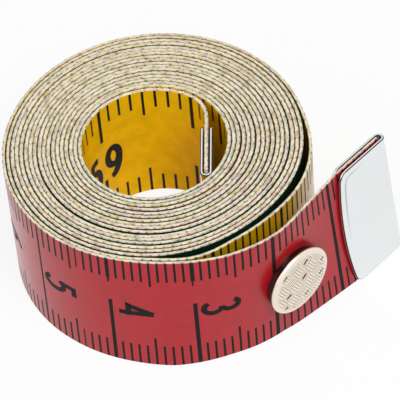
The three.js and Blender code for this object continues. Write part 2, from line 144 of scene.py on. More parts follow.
class TapeSizes(PropertyGroup):
    """Sizes of the tape and of the way it lies"""

    width: length_prop("Width", "Across the tape", 2 * MID_HEIGHT / MM)
    length: length_prop("Length", "From the zero end to the far end", 1524)
    thickness: length_prop("Thickness", "Woven core with both printed coats", 0.475)
    squeeze: length_prop("Squeeze", "How much thinner the turns are at the front of the roll", 0.055)
    end_thickness: length_prop("End thickness", "Of the free end and the outer turn, pressed flat", 0.36)
    pitch: length_prop("Pitch", "Radial distance between two turns of the roll", 0.545)
    inner_radius: length_prop("Inner radius", "Where the inner tail leaves the roll", 8.57)
    root_angle: angle_prop("Root angle", "Where the strap leaves the roll, from +X", -105.8)
    root_reading: length_prop("Root reading", "Where the strap leaves the roll", 38)
    crease_reading: length_prop("Crease reading", "Where the strap bends round to its snap", 21.9)
    snap_reading: length_prop("Snap reading", "Where the cap is riveted", 17)
    tip_reading: length_prop("Tip reading", "Where the tip bends in", 11.6)
    tail_bend_length: length_prop("Tail bend length", "Tape in the inner tail's bend", 4.2)
    tail_bend_angle: angle_prop("Tail bend angle", "From the roll's curve to the tail's straight end", 59)
    tail_length: length_prop("Tail length", "Tape from the roll to the far end", 13.3)
    end_gap: length_prop("End gap", "From the tape's cut end to the outside of its clip", 0.6)
    clip_reach: length_prop("Clip reach", "How far a clip stands past the tape's measured length", 0.3)
    bend_reach: length_prop("Bend reach", "Half the length over which a bend is rounded", 1.9)
    slack: length_prop("Slack", "How unevenly the turns lie at the front of the roll", 0.046)
    spread: length_prop("Spread", "How much looser than its pitch the roll lies at its outer back", 0.3)
    hole_x: length_prop("Hole X", "How far the roll's hole lies off its axis", -0.35)
    hole_y: length_prop("Hole Y", "How far the roll's hole lies off its axis", 0.45)
    wander: length_prop("Wander", "How far the turns stand up unevenly", 0.16)


class PrintSizes(PropertyGroup):
    """Sizes and colours of the printed scales"""

    tick_width: length_prop("Tick width", "Millimetre ticks", 0.28)
    upper_tick: length_prop("Upper tick", "Length of a millimetre tick at the upper edge", 3.3)
    upper_five: length_prop("Upper five", "Length of a five millimetre tick at the upper edge", 4.1)
    lower_tick: length_prop("Lower tick", "Length of a millimetre tick at the lower edge", 3.4)
    lower_five: length_prop("Lower five", "Length of a five millimetre tick at the lower edge", 4.8)
    bold_width: length_prop("Bold width", "Lines of a numbered centimetre", 0.46)
    bold_tick: length_prop("Bold tick", "Length of a centimetre's upper tick", 3.3)
    bold_line: length_prop("Bold line", "Height of a centimetre's lower line", 10.8)
    full_width: length_prop("Full width", "Lines right across the tape", 0.34)
    first_width: length_prop("First width", "Lines of the first two centimetres", 0.5)
    inch_tick_width: length_prop("Inch tick width", "Ticks of the inch scale", 0.34)
    inch_tick: length_prop("Inch tick", "Length of a sixteenth's tick", 2.9)
    quarter_tick: length_prop("Quarter tick", "Length of a quarter inch's tick", 4.2)
    half_tick: length_prop("Half tick", "Length of a half inch's tick", 5.6)
    half_width: length_prop("Half width", "Width of a half inch's tick", 0.56)
    figure_tall: length_prop("Figure height", "Height of the centimetre figures", 4.85)
    figure_wide: length_prop("Figure width", "Width of a centimetre figure", 2.45)
    figure_stroke: length_prop("Figure stroke", "Stroke of the centimetre figures", 0.72)
    figure_gap: length_prop("Figure gap", "From a centimetre line to the foot of its figure", 0.6)
    figure_level: length_prop("Figure level", "Middle of the figures above the lower edge", 9.4)
    inch_figure_tall: length_prop("Inch figure height", "Height of the inch figures", 5.8)
    inch_figure_wide: length_prop("Inch figure width", "Width of an inch figure", 2.85)
    inch_figure_stroke: length_prop("Inch figure stroke", "Stroke of the inch figures", 1.0)
    inch_figure_level: length_prop("Inch figure level", "Middle of the figures above the lower edge", 7.9)
    inch_figure_shift: length_prop("Inch figure shift", "From an inch's mark back to its figures", 0.2)
    inch_shift: length_prop("Inch shift", "How far the inch scale is printed short of its place", 0.4)
    block_length: length_prop("Block length", "Tape in one colour", 100)
    red: colour_prop("Red", "First colour of the centimetre face", "#AE1620")
    yellow: colour_prop("Yellow", "Second colour of the centimetre face, and the inch face", "#F8C604")
    # The green is set darker than the tape's own green, as painted shade: it is seen mostly in the shaded
    # gaps between the turns.
    green: colour_prop("Green", "Third colour of the centimetre face", "#1A5C3E")
    ink: colour_prop("Ink", "Ticks and figures", "#181415")
    cream: colour_prop("Cream", "Woven core at the cut edge", "#EDE6D3")
    thread_shade: colour_prop("Thread shade", "Shaded thread at the cut edge", "#B9B3A0")
    edge_yellow: colour_prop("Edge yellow", "Coat of the inch face at the cut edge", "#EBC45C")


class ClipSizes(PropertyGroup):
    """Sizes and colour of the end clips"""

    length: length_prop("Length", "From the mouth to the fold", 9.2)
    inset: length_prop("Inset", "From the tape's edge to the clip's end", 0.15)
    sheet: length_prop("Sheet", "Thickness of the metal", 0.36)
    half_depth: length_prop("Half depth", "From the tape's middle to the outside of a leaf", 0.72)
    bow: length_prop("Bow", "How far the mouth bows towards the tape", 0.9)
    mouth_corner: length_prop("Mouth corner", "Rounding of the corners at the mouth", 1.1)
    corner: length_prop("Corner", "Rounding of the corners at the fold", 0.2)
    border: length_prop("Border", "From the clip's edges to its pressed line", 0.95)
    border_round: length_prop("Border round", "Rounding of the pressed line's corners", 0.9)
    border_depth: length_prop("Border depth", "Depth of the pressed line", 0.06)
    border_width: length_prop("Border width", "Half the width of the pressed line", 0.13)
    burr: length_prop("Burr", "Width of the burr round the sheet's edges", 0.1)
    nickel: colour_prop("Nickel", "Plated steel", "#E9ECEC")
    # Painted shade: the pressed line is coloured this darker grey so that its groove looks shaded.
    creased: colour_prop("Creased", "Duller plate in the pressed line", "#9EA1A3")
    # Set near black, darker than bare steel: the burr is partly painted shade, which outlines the clip.
    steel: colour_prop("Steel", "Burr round the sheet's edges", "#24272B")


class SnapSizes(PropertyGroup):
    """Sizes and colours of the press stud"""

    cap_radius: length_prop("Cap radius", "Cap on the strap", 4.58)
    cap_side: length_prop("Cap side", "Height of the cap's rim above the tape's middle", 1.6)
    cap_crown: length_prop("Cap crown", "Rise of the cap's dome", 0.35)
    cap_round: length_prop("Cap round", "Rounding of the cap's rim, which is rolled under", 0.42)
    weave_cell: length_prop("Weave cell", "Patches of the engraved weave", 1.5)
    weave_line: length_prop("Weave line", "Spacing of the engraved lines", 0.36)
    weave_turn: angle_prop("Weave turn", "Of the weave, from the strap's length", 32)
    weave_depth: length_prop("Weave depth", "Depth of the engraving", 0.07)
    socket_radius: length_prop("Socket radius", "Socket on the strap's back", 3.7)
    socket_mouth: length_prop("Socket mouth", "Radius of the socket's mouth", 2.2)
    socket_groove: length_prop("Socket groove", "Radius of the groove that holds the spring", 2.6)
    socket_foot: length_prop("Socket foot", "From the strap's middle to the socket's mouth", 1.345)
    post_radius: length_prop("Post radius", "Shank of the cap's post", 1.2)
    bead_radius: length_prop("Bead radius", "Rolled end of the cap's post", 1.8)
    bead_foot: length_prop("Bead foot", "From the strap's middle to the post's rolled end", 0.795)
    spring_wire: length_prop("Spring wire", "Wire of the split ring", 0.28)
    spring_gap: angle_prop("Spring gap", "Left open in the split ring", 40)
    stud_radius: length_prop("Stud radius", "Knob of the stud", 1.9)
    stud_neck: length_prop("Stud neck", "Neck of the stud", 1.65)
    stud_flange: length_prop("Stud flange", "Flange of the stud", 3.3)
    stud_top: length_prop("Stud top", "From the strap's middle to the top of the stud", 0.915)
    stud_side: length_prop("Stud side", "Straight side of the knob, as tall as the slope above it", 0.15)
    eyelet_bore: length_prop("Eyelet bore", "Hole through the stud's eyelet", 0.75)
    eyelet_flange: length_prop("Eyelet flange", "Flange behind the outer turn", 2.2)
    plate: length_prop("Plate", "Thickness of the stamped metal", 0.2)
    champagne: colour_prop("Champagne", "Warm nickel of the cap", "#F0E4D3")
    # Under the cap's rim this colour is painted shade; in the cuts of the engraving it is tarnish.
    engraved: colour_prop("Engraved", "Tarnish in the cap's engraving and under its rim", "#42352F")
    dull_nickel: colour_prop("Dull nickel", "Socket, post, stud and eyelet", "#CFC8BA")
    brass: colour_prop("Brass", "Spring wire", "#C9A94F")


class StageSizes(PropertyGroup):
    """Camera, floor and lamps"""

    elevation: angle_prop("Elevation", "Camera above the horizon", 48.93)
    roll: angle_prop("Roll", "Turn of the camera about its line of sight", 5.28)
    distance: length_prop("Distance", "From the camera to its target", 353.3)
    target_x: length_prop("Target X", "Camera's target, from the roll's axis", 4.56)
    target_y: length_prop("Target Y", "Camera's target, from the roll's axis", -1.47)
    lens: FloatProperty(name="Lens", description="Focal length, mm", default=264.3)
    key_power: FloatProperty(name="Key power", description="Soft lamp above", default=2.1, unit="POWER")
    key_size: length_prop("Key size", "Side of the soft lamp above", 300)
    fill_power: FloatProperty(name="Fill power", description="Lamp on the left", default=0.6, unit="POWER")
    fill_size: length_prop("Fill size", "Side of the lamp on the left", 450)
    sky: FloatProperty(name="Sky", description="Strength of the even light from all sides", default=0.3)
    floor: colour_prop("Floor", "White paper", "#F6F6F6")
    floor_glow: FloatProperty(name="Floor glow", description="Share of even white in it", default=0.86)


def linear(hex_value):
    """An sRGB hex value as linear red, green, blue and alpha."""
    channels = np.array([int(hex_value[i : i + 2], 16) for i in (1, 3, 5)]) / 255
    low, high = channels / 12.92, ((channels + 0.055) / 1.055) ** 2.4
    return (*np.where(channels <= 0.04045, low, high).tolist(), 1.0)


def ease(value):
    """A rise from 0 to 1 that starts and ends level: half a wave of a cosine."""
    return (1 - np.cos(np.pi * np.clip(value, 0, 1))) / 2


def swell(angle, middle, reach, height):
    """A rise and fall over a reach either side of its middle: a whole wave of a cosine."""
    return height * MM * ease(1 - np.abs(angle - middle) / reach)


class TapePath:
    """The line along the middle of the tape, from its zero end to its far end inside the roll."""

    def __init__(self, sizes):
        self.sizes = sizes
        wound_length = sizes.length - sizes.root_reading - sizes.tail_length
        outer_square = sizes.inner_radius**2 + wound_length * sizes.pitch / math.pi
        self.wound_angle = math.tau / sizes.pitch * (math.sqrt(outer_square) - sizes.inner_radius)
        self.last_turn = self.wound_angle - math.tau
        self.tail_reading = sizes.length - sizes.tail_length
        root_radius = sizes.inner_radius + sizes.pitch * self.wound_angle / math.tau
        self.axis = ROOT - root_radius * cmath.exp(1j * sizes.root_angle)
        self.panel_heading = (TIP - CREASE) / abs(TIP - CREASE)
        self.snap = CREASE + self.panel_heading * (sizes.crease_reading - sizes.snap_reading)
        self.strap_end = STRAP_READINGS[-1] * MM
        step = 0.05 * MM
        beyond_end = 8 * MM
        readings = np.arange(self.strap_end, -beyond_end, -step)
        headings = np.radians(np.interp(readings / MM, STRAP_READINGS, STRAP_HEADINGS))
        course = np.concatenate([[0.0], np.cumsum(step * np.exp(1j * headings[:-1]))])
        self.strap_readings = readings[::-1]
        self.strap_course = course[::-1] + self.roll(self.wound(self.strap_end))

    def wound(self, reading):
        """Angle wound from the roll's inner end: the length grows with the square of the radius."""
        sizes = self.sizes
        inward = np.clip(self.tail_reading - reading, 0, None)
        radius = np.sqrt(sizes.inner_radius**2 + inward * sizes.pitch / math.pi)
        return math.tau / sizes.pitch * (radius - sizes.inner_radius)

    def front(self, wound):
        """How near a wound angle lies to the roll's front: 1 there and 0 at the back, as a sine."""
        return (1 - np.sin(self.sizes.root_angle - self.wound_angle + wound)) / 2

    def depth(self, wound):
        """How many turns a wound angle lies inside the turn under the strap's root."""
        return (self.last_turn - wound) / math.tau

    def inside(self, wound):
        """1 for the turns inside the roll, eased to 0 at its inner end and towards its outer turn."""
        return ease(wound / math.tau) * ease((self.depth(wound) - 0.15) / 0.4)

    def roll(self, wound):
        """Spiral whose radius grows by a pitch each turn, and by a little more at the back. Its hole lies
        off its axis, so the turns lie closer at the back. The turn under the strap is lifted, the turns
        inside it are dented at the front, and there they lie bunched in threes, as the first two waves of
        a saw."""
        sizes = self.sizes
        turn = wound / math.tau
        outer_share = wound / self.wound_angle
        front, inside = self.front(wound), self.inside(wound)
        past_root = np.degrees(wound - self.last_turn)
        lifted = swell(past_root, *NECK_SWELL) + swell(past_root, *SIDE_SWELL)
        fading = np.clip(1.05 - self.depth(wound) / DENT_TURNS, 0, 1)
        dented = swell(np.mod(past_root, 360), *DENT) * inside * fading
        wave = math.tau * turn / BUNCH_TURNS
        bunched = sizes.slack * front * inside * (np.sin(wave) + np.sin(2 * wave) / 2)
        looser = sizes.spread * outer_share * (1 - front)
        radius = sizes.inner_radius + sizes.pitch * turn + lifted - dented + bunched + looser
        off_axis = (1 - outer_share) * complex(sizes.hole_x, sizes.hole_y)
        angle = sizes.root_angle - self.wound_angle + wound
        return self.axis + off_axis + radius * np.exp(1j * angle)

    def tail(self, beyond):
        """Inner tail, a length beyond the roll's inner end: an arc that turns inwards, then straight."""
        sizes = self.sizes
        start = self.roll(np.array([0.0, 1e-4]))
        heading = (start[1] - start[0]) / abs(start[1] - start[0])
        radius = sizes.tail_bend_length / sizes.tail_bend_angle
        turned = np.clip(beyond / radius, 0, sizes.tail_bend_angle)
        straight = np.clip(beyond - sizes.tail_bend_length, 0, None)
        arc = -radius * np.sin(turned) + 1j * radius * (1 - np.cos(turned))
        return start[0] + heading * (arc - straight * np.exp(-1j * turned))

    def chain(self, reading):
        """The strap's course, summed from its headings, then the roll, then the inner tail."""
        strap = np.interp(reading, self.strap_readings, self.strap_course)
        roll = self.roll(self.wound(reading))
        tail = self.tail(np.clip(reading - self.tail_reading, 0, None))
        rolled = np.where(reading > self.tail_reading, tail, roll)
        return np.where(reading < self.strap_end, strap, rolled)

    def middle(self, reading):
        """The chain averaged over a short length either way, which rounds off its corners."""
        offsets = np.linspace(-1, 1, 33)
        weights = 1 + np.cos(np.pi * offsets)
        places = self.chain(np.asarray(reading, float)[..., None] + offsets * self.sizes.bend_reach)
        return places @ (weights / weights.sum())

    def heading(self, reading):
        """Direction towards the zero end, from two places close to each other."""
        step = 0.05 * MM
        ahead = self.middle(reading - step) - self.middle(reading + step)
        return ahead / np.abs(ahead)

    def lean(self, reading):
        """Angle by which the tape's lower edge swings out, eased to nothing along the roll."""
        fade = ease((self.strap_end + LEAN_FADE - reading) / LEAN_FADE)
        return np.radians(np.interp(reading / MM, LEAN_READINGS, STRAP_LEANS)) * fade

    def stand(self, reading):
        """How far the lower edge stands off the floor: two slow waves, none at the strap's turn."""
        wound = self.wound(reading)
        wave = 2 + np.sin(wound / 2.7) + np.sin(wound / 0.83)
        return self.sizes.wander * self.inside(wound) * wave / 4

    def half_depth(self, reading):
        """Half the tape's thickness, eased from its pressed outer turn to the rest of the roll."""
        sizes = self.sizes
        pressed = ease((PRESSED_END + PRESSED_FADE - reading) / PRESSED_FADE)
        wound_thickness = sizes.thickness - sizes.squeeze * self.front(self.wound(reading))
        return (wound_thickness + (sizes.end_thickness - wound_thickness) * pressed) / 2

    def stud_spacing(self):
        """How far the outer turn's middle lies behind the strap's, along the press stud's axis."""
        behind_snap = np.arange(100 * MM, 150 * MM, 0.05 * MM)
        seen = (self.middle(behind_snap) - self.snap) / self.panel_heading
        return float(seen.imag[np.argmin(np.abs(seen.real))])

    def point(self, reading, height, depth):
        """A point of the tape at a height from its middle and a depth out of its middle."""
        reading, height, depth = np.broadcast_arrays(reading, height, depth)
        lean = self.lean(reading)
        side = depth * np.cos(lean) - height * np.sin(lean)
        level = height * np.cos(lean) + depth * np.sin(lean) + MID_HEIGHT + self.stand(reading)
        plan = self.middle(reading) - 1j * self.heading(reading) * side
        return np.stack([plan.real, plan.imag, level], axis=-1)


def add_node(tree, kind, inputs=None, **settings):
    """Adds a node, sets its settings, and sets or links its inputs."""
    node = tree.nodes.new("ShaderNode" + kind)
    for name, value in settings.items():
        setattr(node, name, value)
    for key, value in (inputs or {}).items():
        if isinstance(value, bpy.types.NodeSocket):
            tree.links.new(value, node.inputs[key])
        else:
            node.inputs[key].default_value = value
    return node


def new_material(name):
    """A material with only its output node. Returns the material, its tree and the surface socket."""
    material = bpy.data.materials.new(name)
    material.use_nodes = True
    material.node_tree.nodes.clear()
    output = add_node(material.node_tree, "OutputMaterial")
    return material, material.node_tree, output.inputs["Surface"]


def combine(tree, operation, first, second):
    """Adds a node that works out one value from two. Returns its socket."""
    return add_node(tree, "Math", {0: first, 1: second}, operation=operation).outputs[0]


def remap(tree, value, low, high, start, end):
    """Adds a node that turns the range from low to high into start to end. Returns its socket."""
    return add_node(tree, "MapRange", {0: value, 1: low, 2: high, 3: start, 4: end}).outputs[0]


def noise(tree, place, scale, detail=2.0, roughness=0.5, output="Fac"):
    """Adds a cloudy pattern. Returns its socket."""
    inputs = {"Vector": place, "Scale": scale, "Detail": detail, "Roughness": roughness}
    return add_node(tree, "TexNoise", inputs).outputs[output]


def mixed(tree, share, first, second, blend_type="MIX"):
    """Adds a mix of two colours. Returns its socket."""
    inputs = {"Fac": share, "Color1": first, "Color2": second}
    return add_node(tree, "MixRGB", inputs, blend_type=blend_type).outputs[0]


def bumped(tree, height, strength, distance):
    """Adds a bump. Returns the socket of its normal."""
    inputs = {"Height": height, "Strength": strength, "Distance": distance}
    return add_node(tree, "Bump", inputs).outputs["Normal"]


def toned(tree, colour, value):
    """Adds a change of a colour's brightness. Returns its socket."""
    return add_node(tree, "HueSaturation", {"Value": value, "Color": colour}).outputs["Color"]


def shade(tree, surface, colour, roughness, normal=None, **others):
    """Adds the shader and joins it to the surface. The name Coat_IOR stands for the input Coat IOR."""
    inputs = {"Base Color": colour, "Roughness": roughness}
    if normal is not None:
        inputs["Normal"] = normal
    inputs.update({name.replace("_", " "): value for name, value in others.items()})
    tree.links.new(add_node(tree, "BsdfPrincipled", inputs).outputs[0], surface)


def block_colour(tree, reading, colours, block_length):
    """Adds nodes that repeat a row of colours along the tape, a block of each. Returns their socket."""
    cycle = len(colours) * block_length / MM
    within = combine(tree, "MODULO", reading, cycle)
    ramp = add_node(tree, "ValToRGB", {0: combine(tree, "DIVIDE", within, cycle)})
    ramp.color_ramp.interpolation = "CONSTANT"
    stops = ramp.color_ramp.elements
    stops.remove(stops[-1])
    stops[0].color = linear(colours[0])
    for number, colour in enumerate(colours[1:], 1):
        stops.new(number / len(colours)).color = linear(colour)
    return ramp.outputs["Color"]


def printed_vinyl(name, colours, block_length, gloss, covered):
    """Soft vinyl printed over woven cloth: an even colour with faint mottling, under a thin clear coat
    that pales where the light grazes it, and the weave just showing through as a fine bump. Between two
    covered readings, where the turns lie on each other, its colour is darkened as painted shade."""
    material, tree, surface = new_material(name)
    place = add_node(tree, "Attribute", attribute_name="tape_place").outputs["Vector"]
    reading = add_node(tree, "SeparateXYZ", {0: place}).outputs["X"]
    mottle = noise(tree, place, 0.55, 6.0, 0.65)
    tone = remap(tree, mottle, 0.3, 0.7, 0.88, 1.1)
    # Painted shade between the turns: darker over the covered readings, clear again at the innermost turn.
    first, last = covered
    painted_shade = remap(tree, reading, (first - COVERED_FADE_IN) / MM, first / MM, 1.0, PAINTED_SHADE_TONE)
    painted_shade_cleared = remap(tree, reading, last / MM, (last + COVERED_FADE_OUT) / MM, 1.0, 1 / PAINTED_SHADE_TONE)
    for change in (painted_shade, painted_shade_cleared):
        tone = combine(tree, "MULTIPLY", tone, change)
    colour = toned(tree, block_colour(tree, reading, colours, block_length), tone)
    rough = remap(tree, mottle, 0.3, 0.7, 0.3, 0.42)
    threads = {"Vector": place, "Scale": 0.45, "Distortion": 0.6}
    weave = add_node(tree, "TexWave", threads, bands_direction="Y").outputs["Fac"]
    height = combine(tree, "ADD", weave, noise(tree, place, 4.0))
    normal = bumped(tree, height, 0.25, 0.012 * MM)
    coat = {"Coat_Weight": 2 * gloss, "Coat_IOR": 1.25, "Coat_Roughness": 0.22}
    shade(tree, surface, colour, rough, normal, Specular_IOR_Level=gloss / 2, **coat)
    return material


def printing_ink(colour):
    """Black ink on vinyl: a little thin in places, so that it is not quite even, with a dry gloss."""
    material, tree, surface = new_material("black_printing_ink")
    where = add_node(tree, "TexCoord").outputs["Object"]
    patches = noise(tree, where, 2.2 / MM, 4.0)
    value = remap(tree, patches, 0.3, 0.75, 0.6, 1.6)
    shade(tree, surface, toned(tree, linear(colour), value), 0.5, Specular_IOR_Level=0.12)
    return material


def cut_edge(sizes, look, blocks):
    """Cut edge of coated cloth: white thread between two thin coats, yellow inside and tinted by the
    block's colour outside, flecked along the cut, with dark specks where the ticks of both scales are cut
    through."""
    material, tree, surface = new_material("cut_edge_of_coated_cloth")
    place = add_node(tree, "Attribute", attribute_name="tape_place").outputs["Vector"]
    parts = add_node(tree, "SeparateXYZ", {0: place})
    reading, depth = parts.outputs["X"], parts.outputs["Z"]
    half = sizes.thickness / MM / 2
    across = remap(tree, depth, -half, half, 0.0, 1.0)
    along = add_node(tree, "Mapping", {"Vector": place, "Scale": (1.0, 0.2, 2.5)}).outputs[0]
    shift = remap(tree, noise(tree, along, 1.3, 3.0, 0.7), 0.3, 0.7, -0.2, 0.2)
    wavering = combine(tree, "ADD", across, shift)
    thread = add_node(tree, "ValToRGB", {0: noise(tree, along, 0.6, 4.0, 0.7)})
    stops = zip(thread.color_ramp.elements, (0.36, 0.56), (look.thread_shade, look.cream))
    for stop, position, tint in stops:
        stop.position = position
        stop.color = linear(tint)
    tints = noise(tree, along, 1.1, output="Color")
    colour = mixed(tree, 0.45, thread.outputs["Color"], tints, "OVERLAY")
    inner = remap(tree, wavering, 0.12, 0.3, 0.6, 0.0)
    outer = remap(tree, wavering, 0.72, 0.92, 0.0, 0.3)
    colour = mixed(tree, inner, colour, linear(look.edge_yellow))
    colour = mixed(tree, outer, colour, block_colour(tree, reading, blocks, look.block_length))
    marks = [(1.0, 0.15, 0.7, "GREATER_THAN"), (SIXTEENTH / MM, 0.18, 0.22, "LESS_THAN")]
    for spacing, half_width, limit, side in marks:
        off_tick = combine(tree, "PINGPONG", reading, spacing / 2)
        near_tick = combine(tree, "LESS_THAN", off_tick, half_width)
        speck = combine(tree, "MULTIPLY", near_tick, combine(tree, side, wavering, limit))
        colour = mixed(tree, combine(tree, "MULTIPLY", speck, 0.6), colour, linear(look.ink))
    normal = bumped(tree, noise(tree, place, 6.0, 3.0), 0.6, 0.05 * MM)
    shade(tree, surface, colour, 0.8, normal)
    return material


def plated_metal(name, colour, low_rough, high_rough, grit, engraved=None):
    """Bright plated metal: mirror-like, with faint cloudy patches and fine handling marks a grit apart.
    With an engraved colour, it darkens to that by the point attribute engraved: tarnish in the cuts of an
    engraving, and painted shade in a pressed groove and under a rolled rim."""
    material, tree, surface = new_material(name)
    where = add_node(tree, "TexCoord").outputs["Object"]
    rough = remap(tree, noise(tree, where, 0.25 / MM, 3.0), 0.3, 0.7, low_rough, high_rough)
    normal = bumped(tree, noise(tree, where, 1 / grit, 4.0, 0.7), 0.12, 0.02 * MM)
    plate = linear(colour)
    if engraved:
        cut = add_node(tree, "Attribute", attribute_name="engraved").outputs["Fac"]
        plate = mixed(tree, cut, plate, linear(engraved))
    shade(tree, surface, plate, rough, normal, Metallic=1.0)
    return material


def grid_quads(rows, columns, closed):
    """Corner numbers of a grid's quads, row after row. A closed grid joins each row's ends."""
    across = columns if closed else columns - 1
    row, column = np.meshgrid(np.arange(rows - 1), np.arange(across), indexing="ij")
    start, after = row * columns, (column + 1) % columns
    corners = [start + column, start + after, start + columns + after, start + columns + column]
    return np.stack(corners, axis=-1).reshape(-1, 4)


def new_piece(name, points, faces, materials, slots=None, crease_angle=35):
    """A mesh object with its place in its mesh, smooth but for corners sharper than the crease angle."""
    mesh = bpy.data.meshes.new(name)
    mesh.from_pydata(np.asarray(points).reshape(-1, 3).tolist(), [], faces)
    for material in materials:
        mesh.materials.append(material)
    if slots is not None:
        mesh.polygons.foreach_set("material_index", np.asarray(slots, dtype=np.int32))
    mesh.polygons.foreach_set("use_smooth", np.ones(len(mesh.polygons), dtype=bool))
    mesh.set_sharp_from_angle(angle=math.radians(crease_angle))
    mesh.update()
    piece = bpy.data.objects.new(name, mesh)
    bpy.context.scene.collection.objects.link(piece)
    return piece


def tick_sides(first, last, step, width):
    """Readings of both sides of every tick between two readings, for ticks a step apart."""
    marks = np.arange(math.ceil(first / step), math.floor(last / step) + 1) * step
    return np.concatenate([marks - width / 2, marks + width / 2])


def off_mark(reading, step):
    """Distance from a reading to the nearest whole number of steps."""
    return np.abs(reading - step * np.round(reading / step))


def centimetre_ink(reading, height, sizes, look):
    """True where the centimetre face is inked, at a height above the tape's lower edge. Millimetre ticks
    run in from both edges, longer at every five. A numbered centimetre has a bold tick above and a bold
    line below, and the first two and every fifth have one line right across instead."""
    drop = sizes.width - height
    short = (height < look.lower_tick) | (drop < look.upper_tick)
    five = (height < look.lower_five) | (drop < look.upper_five)
    inked = (off_mark(reading, MM) < look.tick_width / 2) & short
    inked |= (off_mark(reading, 5 * MM) < look.tick_width / 2) & five
    centimetre = np.round(reading / (10 * MM))
    across = (centimetre % 5 == 0) | (centimetre < 3)
    off_centimetre = off_mark(reading, 10 * MM)
    bold = (drop < look.bold_tick) | (height < look.bold_line)
    inked |= ~across & bold & (off_centimetre < look.bold_width / 2)
    line_width = np.where(centimetre < 3, look.first_width, look.full_width)
    return inked | (across & (off_centimetre < line_width / 2))


def inch_ink(reading, height, sizes, look):
    """True where the inch face is inked: ticks at sixteenths from both edges, longer at quarters, and
    long and bold at halves."""
    reading = reading + look.inch_shift
    edge = np.minimum(height, sizes.width - height)
    inked = (off_mark(reading, SIXTEENTH) < look.inch_tick_width / 2) & (edge < look.inch_tick)
    inked |= (off_mark(reading, INCH / 4) < look.inch_tick_width / 2) & (edge < look.quarter_tick)
    return inked | ((off_mark(reading, INCH / 2) < look.half_width / 2) & (edge < look.half_tick))


CENTIMETRE_SLOT, INCH_SLOT, INK_SLOT, EDGE_SLOT = range(4)


def tape_materials(sizes, look):
    """The tape's finishes, in the order of their slots, made once and shared by all its pieces."""
    made = [bpy.data.materials.get(name) for name in ("printed_vinyl_blocks", "printed_vinyl_yellow")]
    made += [bpy.data.materials.get(name) for name in ("black_printing_ink", "cut_edge_of_coated_cloth")]
    if None not in made:
        return made
    blocks = [look.red, look.yellow, look.green]
    innermost_turn = sizes.length - sizes.tail_length - math.tau * sizes.inner_radius
    covered = (COVERED_START, innermost_turn - COVERED_MARGIN)
    return [
        printed_vinyl("printed_vinyl_blocks", blocks, look.block_length, 0.4, covered),
        printed_vinyl("printed_vinyl_yellow", [look.yellow], look.block_length, 0.06, covered),
        printing_ink(look.ink),
        cut_edge(sizes, look, blocks),
    ]


def tape_section(sizes, look):
    """The tape's cross-section, a flat loop with a small chamfer at each corner: up the centimetre face,
    over the upper edge, down the inch face and under the lower edge, with points where ticks end. Returns
    their heights and depths from the middle, and how many lie on each face."""
    chamfer = 0.05 * MM
    half_width, half_depth = sizes.width / 2, sizes.thickness / 2
    inch_marks = [look.inch_tick, look.quarter_tick, look.half_tick]
    lower = np.array([chamfer, look.lower_tick, look.lower_five, look.bold_line, *inch_marks])
    upper = np.array([chamfer, look.upper_tick, look.upper_five, look.bold_tick, *inch_marks])
    heights = np.unique(np.concatenate([lower, sizes.width - upper])) - half_width
    rim = np.array([1, 1 / 3, -1 / 3, -1]) * (half_depth - chamfer)
    ends = np.full(rim.size, half_width)
    face = np.full(heights.size, half_depth)
    height = np.concatenate([heights, ends, heights[::-1], -ends])
    depth = np.concatenate([face, rim, -face, -rim])
    return height, depth, heights.size


def strip_readings(first, last, step, inked, look):
    """Readings of a strip's rows of points: a step apart, and at both sides of every tick in the inked
    stretches, so that each tick is made of whole faces. Rows closer than a weld are one."""
    readings = [np.arange(first, last, step), [last]]
    for start, end in inked:
        readings.append(tick_sides(start, end, MM, look.tick_width))
        for width in (look.bold_width, look.full_width, look.first_width):
            readings.append(tick_sides(start, end, 10 * MM, width))
        readings.append(tick_sides(start, end, SIXTEENTH, look.inch_tick_width) - look.inch_shift)
        readings.append(tick_sides(start, end, INCH / 2, look.half_width) - look.inch_shift)
    weld = 0.02 * MM
    return np.unique(np.round(np.clip(np.concatenate(readings), first, last) / weld)) * weld


def strip_slots(reading, height, on_face, inked, sizes, look):
    """Slots of a strip's faces, row after row: its two printed faces and its cut edges, with ink where a
    scale has a mark in the inked stretches."""
    row, column = np.divmod(np.arange((reading.size - 1) * height.size), height.size)
    place = (reading[row] + reading[row + 1]) / 2
    level = (height[column] + height[(column + 1) % height.size]) / 2 + sizes.width / 2
    printed = np.zeros(row.size, dtype=bool)
    for start, end in inked:
        printed |= (place > start) & (place < end)
    inner_first = height.size // 2
    on_outer = column < on_face - 1
    on_inner = (column >= inner_first) & (column < inner_first + on_face - 1)
    slots = np.full(row.size, EDGE_SLOT)
    slots[on_outer] = CENTIMETRE_SLOT
    slots[on_inner] = INCH_SLOT
    slots[on_outer & printed & centimetre_ink(place, level, sizes, look)] = INK_SLOT
    slots[on_inner & printed & inch_ink(place, level, sizes, look)] = INK_SLOT
    return slots


def tape_strip(name, path, first, last, step, inked):
    """A length of tape between two readings: its cross-section carried along the path, printed in the
    inked stretches."""
    sizes, look = path.sizes, bpy.context.scene.tape_print
    height, depth, on_face = tape_section(sizes, look)
    reading = strip_readings(first, last, step, inked, look)
    pressed = path.half_depth(reading) / (sizes.thickness / 2)
    points = path.point(reading[:, None], height, depth * pressed[:, None])
    quads = grid_quads(reading.size, height.size, closed=True)
    loop = np.arange(height.size)
    last_loop = (reading.size - 1) * height.size + loop
    faces = [*quads.tolist(), loop[::-1].tolist(), last_loop.tolist()]
    slots = [*strip_slots(reading, height, on_face, inked, sizes, look).tolist(), EDGE_SLOT, EDGE_SLOT]
    piece = new_piece(name, points, faces, tape_materials(sizes, look), slots)
    above_edge = height + sizes.width / 2
    place = np.stack(np.broadcast_arrays(reading[:, None], above_edge, depth), axis=-1) / MM
    attribute = piece.data.attributes.new("tape_place", "FLOAT_VECTOR", "POINT")
    attribute.data.foreach_set("vector", place.astype(np.float32).ravel())
    return piece


